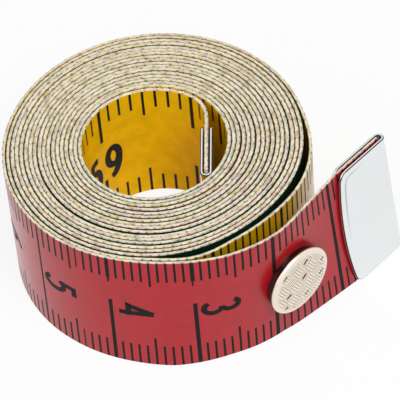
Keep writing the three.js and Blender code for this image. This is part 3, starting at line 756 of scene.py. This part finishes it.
def plan_point(path, reading):
    """A place on the tape's middle line, as at the start or end of a bend."""
    return tuple(path.point(reading, 0.0, 0.0).tolist())


def bow(middle_x, middle_y, reach_x, reach_y, first, last):
    """Places on an oval about a middle, from one angle to another in degrees."""
    angle = np.radians(np.linspace(first, last, 2 + round(abs(last - first) / 9)))
    return np.stack([middle_x + reach_x * np.cos(angle), middle_y + reach_y * np.sin(angle)], axis=-1)


# Strokes of the figures, as places on their middle lines from (0, 0) at the foot to (1, 1) at the top.
FIGURES = {
    "0": [bow(0.5, 0.5, 0.5, 0.5, 90, 450)],
    "1": [np.array([(0.22, 0.76), (0.62, 1.0), (0.62, 0.0)])],
    "2": [np.concatenate([bow(0.5, 0.72, 0.5, 0.28, 165, -28), [(0.0, 0.0), (1.0, 0.0)]])],
    "3": [bow(0.46, 0.76, 0.46, 0.24, 150, -90), bow(0.46, 0.26, 0.54, 0.26, 90, -152)],
    "4": [np.array([(0.74, 0.0), (0.74, 1.0)]), np.array([(0.72, 1.0), (0.0, 0.28), (1.0, 0.28)])],
    "5": [np.concatenate([[(0.92, 1), (0.16, 1), (0.08, 0.5)], bow(0.46, 0.31, 0.54, 0.33, 128, -150)])],
    "6": [bow(0.5, 0.3, 0.5, 0.3, 180, 540), bow(0.8, 0.3, 0.8, 0.7, 180, 92)],
    "7": [np.array([(0.0, 1.0), (1.0, 1.0), (0.36, 0.0)])],
    "8": [bow(0.5, 0.76, 0.43, 0.24, 90, 450), bow(0.5, 0.26, 0.5, 0.26, 90, 450)],
    "9": [bow(0.5, 0.7, 0.5, 0.3, 0, 360), bow(0.2, 0.7, 0.8, 0.7, 0, -88)],
}


def stroke_band(line, width):
    """A flat band of a given width along a line, with mitred corners. Returns its two sides."""
    ahead = np.diff(line, axis=0)
    ahead /= np.linalg.norm(ahead, axis=1, keepdims=True)
    before, after = np.concatenate([ahead[:1], ahead]), np.concatenate([ahead, ahead[-1:]])
    mitre_limit = 0.55
    share = np.maximum(1 + np.sum(before * after, axis=1, keepdims=True), mitre_limit)
    left = np.stack([-(before + after)[:, 1], (before + after)[:, 0]], axis=-1) / share
    return np.stack([line + left * width / 2, line - left * width / 2], axis=1)


def figure_mesh(text, tall, wide, stroke):
    """A number as flat bands along the strokes of its figures, with its middle at the origin. Long strokes
    have enough places to follow the tape's curve. Returns its points and faces."""
    points, faces, count = [], [], 0
    advance = 1.24 * wide
    for place, digit in enumerate(text):
        left = (place - (len(text) - 1) / 2) * advance - (wide - stroke) / 2
        for line in FIGURES[digit]:
            corners = np.arange(len(line))
            dense = np.linspace(0, len(line) - 1, 6 * (len(line) - 1) + 1)
            fine = np.stack([np.interp(dense, corners, line[:, axis]) for axis in (0, 1)], axis=-1)
            scaled = fine * (wide - stroke, tall - stroke) + (left, (stroke - tall) / 2)
            band = stroke_band(scaled, stroke)
            points.append(band.reshape(-1, 2))
            faces.append(grid_quads(len(band), 2, closed=False) + count)
            count += 2 * len(band)
    return np.concatenate(points), np.concatenate(faces)


def figures(name, path, centimetres, inches):
    """Printed numbers as one thin piece lying on the tape. Centimetre figures stand across the tape with
    their tops towards the zero end. Inch figures stand up along it, on the other face."""
    sizes, look = path.sizes, bpy.context.scene.tape_print
    proud = 0.008 * MM
    figure = (look.figure_tall, look.figure_wide, look.figure_stroke)
    inch_figure = (look.inch_figure_tall, look.inch_figure_wide, look.inch_figure_stroke)
    points, faces, count = [], [], 0
    for number in centimetres:
        flat, quads = figure_mesh(str(number), *figure)
        foot = number * 10 * MM - look.figure_gap
        reading = foot - look.figure_tall / 2 - flat[:, 1]
        level = look.figure_level - sizes.width / 2 - flat[:, 0]
        points.append(path.point(reading, level, path.half_depth(reading) + proud))
        faces.append(quads + count)
        count += len(flat)
    for number in inches:
        flat, quads = figure_mesh(str(number), *inch_figure)
        level = look.inch_figure_level - sizes.width / 2 + flat[:, 1]
        reading = number * INCH - look.inch_shift - look.inch_figure_shift + flat[:, 0]
        points.append(path.point(reading, level, -path.half_depth(reading) - proud))
        faces.append(quads[:, ::-1] + count)
        count += len(flat)
    ink = tape_materials(sizes, look)[INK_SLOT]
    piece = new_piece(name, np.concatenate(points), np.concatenate(faces).tolist(), [ink])
    return piece


def strap_seams(sizes):
    """Readings where the strap is cut into pieces, each between two of the joints' bends."""
    neck = (sizes.root_reading + sizes.crease_reading) / 2
    panel = sizes.tip_reading + TIP_SEAM
    return sizes.root_reading + ROOT_SEAM, neck, panel


class TAPE_OT_wound_tape(Operator):
    """Build the wound length of tape with its printed figures"""

    bl_idname = "tape_measure.wound_tape"
    bl_label = "Wound Tape"

    def execute(self, context):
        sizes = context.scene.tape_sizes
        path = TapePath(sizes)
        first = strap_seams(sizes)[0]
        last = path.tail_reading - TAIL_SEAM
        outer_turns = (first, PRINTED_OUTER_TURNS * math.tau * abs(ROOT - path.axis))
        inner_turns = (last - PRINTED_INNER_TURNS * math.tau * sizes.inner_radius, last)
        roll = tape_strip("wound_tape", path, first, last, ROLL_STEP, [outer_turns, inner_turns])
        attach(roll, "roll")
        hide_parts("tape_roll")
        numbers = figures("roll_figures", path, range(5, 15), range(57, 60))
        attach(numbers, "roll")
        return {"FINISHED"}


class TAPE_OT_strap(Operator):
    """Build the free end of the tape, in pieces around the bends at the root, the crease and the tip"""

    bl_idname = "tape_measure.strap"
    bl_label = "Strap"

    def execute(self, context):
        sizes = context.scene.tape_sizes
        path = TapePath(sizes)
        on_roll, neck, panel = strap_seams(sizes)
        reach = sizes.bend_reach
        root, crease, tip = sizes.root_reading, sizes.crease_reading, sizes.tip_reading
        pieces = [
            ("strap_root_tape", neck, on_roll, root, "roll", "strap_neck", "tape_neck"),
            ("strap_crease_tape", panel, neck, crease, "strap_neck", "strap_snap", "tape_snap_panel"),
            ("strap_tip_tape", sizes.end_gap, panel, tip, "strap_snap", "strap_tip", "tape_tip"),
        ]
        for name, first, last, bend, before, after, node in pieces:
            piece = tape_strip(name, path, first, last, STRAP_STEP, [(first, last)])
            start = plan_point(path, min(bend + reach, last))
            end = plan_point(path, max(bend - reach, first))
            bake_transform(piece)
            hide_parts(node)
        numbers = figures("neck_figures", path, [3], [])
        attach(numbers, "strap_neck")
        numbers = figures("root_figures", path, [4], [])
        start = plan_point(path, root + reach)
        end = plan_point(path, root - reach)
        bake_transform(numbers)
        return {"FINISHED"}


class TAPE_OT_inner_tail(Operator):
    """Build the far end of the tape inside the roll"""

    bl_idname = "tape_measure.inner_tail"
    bl_label = "Inner Tail"

    def execute(self, context):
        sizes = context.scene.tape_sizes
        path = TapePath(sizes)
        first = path.tail_reading - TAIL_SEAM
        last = sizes.length - sizes.end_gap
        tail = tape_strip("inner_tail_tape", path, first, last, STRAP_STEP, [(first, last)])
        start = plan_point(path, path.tail_reading - sizes.bend_reach)
        end = plan_point(path, path.tail_reading + sizes.bend_reach)
        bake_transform(tail)
        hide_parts("tape_inner_tail")
        return {"FINISHED"}


def clip_points(sizes, clip):
    """A sheet folded over the tape's end, at its middle thickness: x runs from the mouth to the fold, y out
    of the tape and z down across it. Each leaf is straight, the fold is a half circle, and the mouth is an
    arc that bows towards the tape and has round corners. A pressed line runs round each leaf as a shallow
    round groove, worn away but for the mouth's upper corner. Returns the points and how deeply each is
    pressed, from 0 to 1."""
    half_width = sizes.width / 2 - clip.inset
    fold_radius = clip.half_depth - clip.sheet / 2
    fold_centre = clip.length - clip.half_depth
    leaf, fold = np.linspace(0, 1, 70), np.linspace(-math.pi / 2, math.pi / 2, 25)
    reach = np.concatenate([leaf[:0:-1], np.zeros(fold.size), leaf[1:]])[:, None]
    flat = np.full(leaf.size - 1, fold[-1])
    angle = np.concatenate([-flat, fold, flat])[:, None]
    share = np.linspace(-1, 1, 161)
    bow_radius = (half_width**2 + clip.bow**2) / (2 * clip.bow)
    mouth = bow_radius - np.sqrt(bow_radius**2 - (share * half_width) ** 2)
    past_corner = np.clip((np.abs(share) - 1) * half_width / clip.mouth_corner + 1, 0, 1)
    mouth += clip.mouth_corner * (1 - np.sqrt(1 - past_corner**2))
    along = fold_centre + fold_radius * np.cos(angle) - reach * (fold_centre - mouth)
    over = np.clip((along - clip.length + clip.corner) / clip.corner, 0, 1)
    across = share * (half_width - clip.corner * (1 - np.sqrt(1 - over**2)))
    from_mouth = clip.border - (1 - reach) * (fold_centre - mouth) + clip.border_round
    from_fold = clip.border / 2 - reach * (fold_centre - mouth) + clip.border_round
    from_side = np.abs(across) - half_width + clip.border + clip.border_round
    ahead = np.maximum(from_mouth, from_fold)
    outside = np.hypot(np.maximum(ahead, 0), np.maximum(from_side, 0))
    line = outside + np.minimum(np.maximum(ahead, from_side), 0) - clip.border_round
    pressed = np.exp(-((line / clip.border_width) ** 2)) * ease(1.5 * reach - 0.5) * ease(0.3 - share)
    x = along - clip.border_depth * pressed * np.cos(angle)
    y = (fold_radius - clip.border_depth * pressed) * np.sin(angle)
    return np.stack(np.broadcast_arrays(x, y, across), axis=-1), pressed


def end_clip(name, middle, heading, lean, body, node):
    """One end clip with its middle on the tape: its x along the heading, its y out of the tape and its z
    down the lean. The burr round its sheet's edges is bare steel, coloured near black as painted shade
    that outlines the clip."""
    sizes, clip = bpy.context.scene.tape_sizes, bpy.context.scene.tape_clips
    points, pressed = clip_points(sizes, clip)
    place = middle - heading * clip.length / 2
    along = np.array([heading.real, heading.imag, 0.0])
    right = np.array([heading.imag, -heading.real, 0.0])
    out = right * math.cos(lean) + np.array([0.0, 0.0, math.sin(lean)])
    axes = np.stack([along, out, np.cross(along, out)])
    origin = np.array([place.real, place.imag, MID_HEIGHT])
    nickel = bpy.data.materials.get("nickel_plated_steel") or plated_metal(
        "nickel_plated_steel", clip.nickel, 0.14, 0.24, 0.3 * MM, clip.creased
    )
    steel = bpy.data.materials.get("steel_edge_with_painted_shade") or plated_metal(
        "steel_edge_with_painted_shade", clip.steel, 0.4, 0.55, 0.1 * MM
    )
    quads = grid_quads(points.shape[0], points.shape[1], closed=False)
    piece = new_piece(name, points @ axes + origin, quads.tolist(), [nickel, steel])
    # How deeply each point is pressed also darkens the plate towards the pressed line's colour: painted
    # shade in the groove.
    attribute = piece.data.attributes.new("engraved", "FLOAT", "POINT")
    attribute.data.foreach_set("value", pressed.astype(np.float32).ravel())
    wall = piece.modifiers.new("Sheet", "SOLIDIFY")
    wall.thickness = clip.sheet
    wall.offset = 0
    rim = piece.modifiers.new("Rim", "BEVEL")
    rim.width = clip.burr
    rim.use_clamp_overlap = False
    rim.segments = 2
    rim.material = 1
    rim.limit_method = "ANGLE"
    rim.angle_limit = math.radians(60)
    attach(piece, body)
    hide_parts(node)
    return piece


class TAPE_OT_end_clips(Operator):
    """Build the folded metal clips on both ends of the tape"""

    bl_idname = "tape_measure.end_clips"
    bl_label = "End Clips"

    def execute(self, context):
        sizes, clip = context.scene.tape_sizes, context.scene.tape_clips
        path = TapePath(sizes)
        half_clip = clip.length / 2 - sizes.clip_reach
        near, far = np.array(half_clip), np.array(sizes.length - half_clip)
        ends = [
            ("zero_end_nickel_clip", near, 1, float(path.lean(near)), "strap_tip", "zero_end_clip"),
            ("far_end_nickel_clip", far, -1, 0.0, "inner_tail", "far_end_clip"),
        ]
        for name, reading, way, lean, body, node in ends:
            middle, heading = complex(path.middle(reading)), way * complex(path.heading(reading))
            end_clip(name, middle, heading, lean, body, node)
        return {"FINISHED"}


def snap_axes(path):
    """Rows of a matrix that turns the snap's axes, x along the strap, y up and z out, to the frame's."""
    along = np.array([path.panel_heading.real, path.panel_heading.imag, 0.0])
    out = np.array([path.panel_heading.imag, -path.panel_heading.real, 0.0])
    return np.stack([along, np.cross(out, along), out])


def snap_piece(name, path, points, faces, material, body, node, slot):
    """A piece of the press stud, moved from the snap's axes to the frame's."""
    origin = np.array([path.snap.real, path.snap.imag, SNAP_HEIGHT])
    places = np.asarray(points).reshape(-1, 3) @ snap_axes(path) + origin
    piece = new_piece(name, places, faces, [material], crease_angle=30)
    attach(piece, body)
    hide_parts(node)
    return piece


def round_axis(radius, level, angle):
    """Points of a section, each at its radius and level, carried round the snap's axis to each angle."""
    angle = angle[:, None]
    return np.stack(np.broadcast_arrays(radius * np.cos(angle), radius * np.sin(angle), level), axis=-1)


def turned(outline, segments=96):
    """A closed outline of radius and level, carried right round. Returns its points and faces."""
    radius, level = np.array(outline).T
    angle = np.linspace(0, math.tau, segments, endpoint=False)
    quads = grid_quads(segments + 1, radius.size, closed=True)
    return round_axis(radius, level, angle), (quads % (segments * radius.size))[:, ::-1].tolist()


def cap_points(snap, tape_half):
    """The cap: rings of points from the middle of its dome to its rim, which is rolled under, and down to
    its foot. The dome is part of a parabola, the rim most of a half circle. Its engraving is a basket
    weave: patches of fine lines that run two ways by turns, cut as cosine grooves that fade out at the
    shoulder, with a short deep cut in some of the patches. Returns the points and how dark each is, from 0
    to 1: by the depth of the engraving, and by painted shade under the rim."""
    flat = snap.cap_radius - snap.cap_round
    dome = np.linspace(0, 1, 84)[1:] * flat
    bend = np.linspace(0, 0.85 * math.pi, 15)[1:]
    side = snap.cap_side
    rim = flat + snap.cap_round * np.sin(bend)
    radius = np.concatenate([dome, rim, [flat, flat, snap.cap_radius / 3]])
    shoulder = side - snap.cap_round * (1 - np.cos(bend))
    rise = side + snap.cap_crown * (1 - (dome / flat) ** 2)
    lip, clearance, edge_fade = 0.05 * MM, 0.01 * MM, 0.5 * MM
    foot = tape_half + clearance
    level = np.concatenate([rise, shoulder, [shoulder[-1] - lip, foot, foot]])
    angle = np.linspace(0, math.tau, 400, endpoint=False)
    x, y = radius[:, None] * np.cos(angle), radius[:, None] * np.sin(angle)
    u = (x * math.cos(snap.weave_turn) + y * math.sin(snap.weave_turn)) / snap.weave_cell
    v = (y * math.cos(snap.weave_turn) - x * math.sin(snap.weave_turn)) / snap.weave_cell
    patch_u, patch_v = np.floor(u), np.floor(v)
    line = np.where((patch_u + patch_v) % 2 == 0, v, u) * snap.weave_cell / snap.weave_line
    groove = ((1 - np.cos(math.tau * line)) / 2) ** 3
    picked = (3 * patch_u + 5 * patch_v) % 7 < 2
    deep = picked & (np.abs(u - patch_u - 0.5) < 0.26) & (np.abs(v - patch_v - 0.5) < 0.1)
    fade = np.concatenate([ease((flat - dome) / edge_fade), np.zeros(radius.size - dome.size)])[:, None]
    engraved = np.maximum(0.6 * groove, deep) * fade
    points = np.stack([x, y, level[:, None] - snap.weave_depth * engraved], axis=-1)
    # Painted shade: the rim darkens as it rolls under, and the foot is wholly dark, as though shaded.
    under = np.concatenate([np.zeros(dome.size), ease(bend / math.pi * 3 - 1), np.ones(3)])[:, None]
    return points, np.maximum(engraved, under)


def cap_mesh(snap, tape_half):
    """The cap, closed at the middle of its dome and at its foot. Returns its points, its faces and how
    dark each point is."""
    rings, dark = cap_points(snap, tape_half)
    count, around = dark.shape
    middle = np.array([[0.0, 0.0, snap.cap_side + snap.cap_crown]])
    points = np.concatenate([rings.reshape(-1, 3), middle])
    first = np.arange(around)
    hub = np.full(around, count * around)
    faces = grid_quads(count, around, closed=True)[:, ::-1].tolist()
    faces += np.stack([hub, first, np.roll(first, -1)], axis=-1).tolist()
    faces.append((first[::-1] + (count - 1) * around).tolist())
    return points, faces, np.append(dark.ravel(), 0.0)


def ring_mesh(snap):
    """The split ring: a round wire carried round the snap's axis up to a gap, with flat ends. Returns its
    points and faces."""
    rows, sides = 73, 12
    wire = snap.spring_wire / 2
    angle = np.linspace(snap.spring_gap / 2, math.tau - snap.spring_gap / 2, rows)
    round_angle = np.linspace(0, math.tau, sides, endpoint=False)
    radius = snap.socket_mouth + wire + wire * np.cos(round_angle)
    level = 1.5 * snap.plate + wire - snap.socket_foot + wire * np.sin(round_angle)
    faces = grid_quads(rows, sides, closed=True)[:, ::-1].tolist()
    loop = np.arange(sides)
    faces += [loop.tolist(), (loop[::-1] + (rows - 1) * sides).tolist()]
    return round_axis(radius, level, angle), faces


def socket_outline(snap, under):
    """Section of the socket, from its seat under the strap to its mouth."""
    plate, foot = snap.plate, -snap.socket_foot
    return [
        (snap.post_radius, under),
        (snap.post_radius, under - plate),
        (snap.socket_groove, under - plate),
        (snap.socket_groove, foot + plate),
        (snap.socket_mouth, foot + plate),
        (snap.socket_mouth, foot),
        (snap.socket_radius - plate, foot),
        (snap.socket_radius, foot + plate / 2),
        (snap.socket_radius, under - plate),
        (snap.socket_radius - plate, under),
    ]


def post_outline(snap, top):
    """Section of the cap's post, from its top on the strap's face to its rolled end in the socket."""
    plate, bead = snap.plate, -snap.bead_foot
    core = 0.05 * MM
    return [
        (core, top),
        (core, bead + plate / 2),
        (snap.post_radius / 2, bead),
        (snap.bead_radius - plate / 2, bead),
        (snap.bead_radius, bead + plate / 2),
        (snap.bead_radius - plate / 2, bead + plate),
        (snap.post_radius, bead + plate),
        (snap.post_radius, top),
    ]


def stud_outline(snap, seat):
    """Section of the stud, from its seat on the outer turn to the top of its knob."""
    plate, top = snap.plate, -snap.stud_top
    return [
        (snap.eyelet_bore, seat),
        (snap.stud_flange - plate / 2, seat),
        (snap.stud_flange, seat + plate / 2),
        (snap.stud_flange - plate / 2, seat + plate),
        (snap.stud_neck, seat + plate),
        (snap.stud_radius, top - 2 * snap.stud_side),
        (snap.stud_radius, top - snap.stud_side),
        (snap.stud_neck, top),
        (snap.eyelet_bore + plate, top),
        (snap.eyelet_bore, top - plate),
    ]


def eyelet_outline(snap, back):
    """Section of the eyelet, from its flange at the back of the outer turn to the top of the stud."""
    plate, top = snap.plate, -snap.stud_top
    return [
        (snap.eyelet_bore - plate / 2, back - plate),
        (snap.eyelet_flange - plate / 2, back - plate),
        (snap.eyelet_flange, back - plate / 2),
        (snap.eyelet_flange, back),
        (snap.eyelet_bore, back),
        (snap.eyelet_bore, top),
        (snap.eyelet_bore - plate / 2, top),
    ]


class TAPE_OT_press_stud(Operator):
    """Build the press stud: cap, post, socket and spring on the strap, stud and eyelet on the roll"""

    bl_idname = "tape_measure.press_stud"
    bl_label = "Press Stud"

    def execute(self, context):
        sizes, snap = context.scene.tape_sizes, context.scene.tape_snap
        path = TapePath(sizes)
        half, spacing = sizes.end_thickness / 2, path.stud_spacing()
        champagne = plated_metal("warm_nickel_plate", snap.champagne, 0.2, 0.32, 0.2 * MM, snap.engraved)
        dull = plated_metal("dull_nickel_plate", snap.dull_nickel, 0.25, 0.4, 0.2 * MM)
        brass = plated_metal("bare_brass_wire", snap.brass, 0.2, 0.3, 0.1 * MM)
        *cap, dark = cap_mesh(snap, half)
        socket, post = turned(socket_outline(snap, -half)), turned(post_outline(snap, half))
        stud = turned(stud_outline(snap, half - spacing))
        eyelet = turned(eyelet_outline(snap, -half - spacing))
        body = "strap_snap"
        piece = snap_piece("engraved_cap", path, *cap, champagne, body, "snap_cap", "cap_nickel")
        # The attribute engraved carries tarnish in the engraving and painted shade under the rim.
        attribute = piece.data.attributes.new("engraved", "FLOAT", "POINT")
        attribute.data.foreach_set("value", dark.astype(np.float32))
        snap_piece("stamped_socket", path, *socket, dull, body, "snap_socket", "snap_nickel")
        snap_piece("cap_post", path, *post, dull, body, "snap_cap_post", "snap_nickel")
        snap_piece("split_ring", path, *ring_mesh(snap), brass, body, "socket_spring", "spring_brass")
        snap_piece("stamped_stud", path, *stud, dull, "roll", "snap_stud", "snap_nickel")
        snap_piece("eyelet", path, *eyelet, dull, "roll", "stud_eyelet", "snap_nickel")
        return {"FINISHED"}


def aimed(name, data, place, target, turn=0.0):
    """An object at a place, looking at a target along its own -Z, turned about its line of sight."""
    item = bpy.data.objects.new(name, data)
    bpy.context.scene.collection.objects.link(item)
    ahead = (target - place) / np.linalg.norm(target - place)
    right = np.cross(ahead, [0.0, 0.0, 1.0])
    right /= np.linalg.norm(right)
    up = np.cross(right, ahead)
    turned_right = right * math.cos(turn) - up * math.sin(turn)
    turned_up = right * math.sin(turn) + up * math.cos(turn)
    rows = np.column_stack([turned_right, turned_up, -ahead, place])
    item.matrix_world = Matrix(np.vstack([rows, [0, 0, 0, 1]]))
    return item


def seen_directly(tree):
    """Adds a value that is 1 for what the camera or a mirror sees and 0 for light. Returns its socket."""
    ray = add_node(tree, "LightPath").outputs
    return combine(tree, "MAXIMUM", ray["Is Camera Ray"], ray["Is Glossy Ray"])


def white_paper(stage):
    """White paper with a faint fibre, which the camera sees mostly as even white."""
    material, tree, surface = new_material("white_paper")
    glow = add_node(tree, "Emission", {"Color": WHITE, "Strength": 1.0}).outputs[0]
    share = combine(tree, "MULTIPLY", seen_directly(tree), stage.floor_glow)
    seen = add_node(tree, "MixShader", {0: share, 2: glow})
    fibre = noise(tree, add_node(tree, "TexCoord").outputs["Object"], 900.0)
    shade(tree, seen.inputs[1], linear(stage.floor), 0.9, bumped(tree, fibre, 0.05, 0.02 * MM))
    tree.links.new(seen.outputs[0], surface)
    return material


def even_light(stage):
    """A world that lights evenly from all sides and is seen as plain white."""
    world = bpy.data.worlds.new("even_white_light")
    world.use_nodes = True
    tree = world.node_tree
    tree.nodes.clear()
    level = remap(tree, seen_directly(tree), 0.0, 1.0, stage.sky, 1.0)
    light = add_node(tree, "Background", {"Color": WHITE, "Strength": level})
    add_node(tree, "OutputWorld", {"Surface": light.outputs[0]})
    return world


class TAPE_OT_stage(Operator):
    """Build the floor, the lamps and the camera"""

    bl_idname = "tape_measure.stage"
    bl_label = "Stage"

    def execute(self, context):
        scene, stage = context.scene, context.scene.tape_stage
        path = TapePath(scene.tape_sizes)
        reach = 1.5
        corners = [(-reach, -reach, 0), (reach, -reach, 0), (reach, reach, 0), (-reach, reach, 0)]
        floor = new_piece("floor", corners, [(0, 1, 2, 3)], [white_paper(stage)])
        scene.world = even_light(stage)
        target = np.array([path.axis.real + stage.target_x, path.axis.imag + stage.target_y, MID_HEIGHT])
        lamps = [
            ("key_lamp", stage.key_power, stage.key_size, KEY_OFFSET),
            ("fill_lamp", stage.fill_power, stage.fill_size, FILL_OFFSET),
        ]
        for name, power, size, offset in lamps:
            lamp = bpy.data.lights.new(name, "AREA")
            lamp.energy = power
            lamp.size = size
            aimed(name, lamp, target + offset, target)

        camera = bpy.data.cameras.new("camera")
        camera.lens = stage.lens
        camera.sensor_width = 36
        camera.clip_start = 0.01
        back = np.array([0.0, -math.cos(stage.elevation), math.sin(stage.elevation)])
        scene.camera = aimed("camera", camera, target + back * stage.distance, target, stage.roll)
        scene.view_settings.view_transform = "Standard"
        return {"FINISHED"}


class TAPE_PT_sidebar(Panel):
    """Sizes and build steps of the tape measure"""

    bl_label = "Tape Measure"
    bl_idname = "TAPE_PT_sidebar"
    bl_space_type = "VIEW_3D"
    bl_region_type = "UI"
    bl_category = "Tape Measure"

    def draw(self, context):
        for step in STEPS:
            self.layout.operator(step.bl_idname)
        for name in GROUPS:
            group = getattr(context.scene, name)
            box = self.layout.box()
            for key in group.bl_rna.properties.keys():
                if key not in ("rna_type", "name"):
                    box.prop(group, key)


GROUPS = {
    "tape_sizes": TapeSizes,
    "tape_print": PrintSizes,
    "tape_clips": ClipSizes,
    "tape_snap": SnapSizes,
    "tape_stage": StageSizes,
}
STEPS = [
    TAPE_OT_wound_tape,
    TAPE_OT_strap,
    TAPE_OT_inner_tail,
    TAPE_OT_end_clips,
    TAPE_OT_press_stud,
    TAPE_OT_stage,
]
CLASSES = [*GROUPS.values(), *STEPS, TAPE_PT_sidebar]


def register():
    for cls in CLASSES:
        bpy.utils.register_class(cls)
    for name, cls in GROUPS.items():
        setattr(bpy.types.Scene, name, PointerProperty(type=cls))


def unregister():
    for name in GROUPS:
        delattr(bpy.types.Scene, name)
    for cls in reversed(CLASSES):
        bpy.utils.unregister_class(cls)


def main():
    register()
    bpy.ops.tape_measure.wound_tape()
    bpy.ops.tape_measure.strap()
    bpy.ops.tape_measure.inner_tail()
    bpy.ops.tape_measure.end_clips()
    bpy.ops.tape_measure.press_stud()
    bpy.ops.tape_measure.stage()


if __name__ == "__main__":
    main()
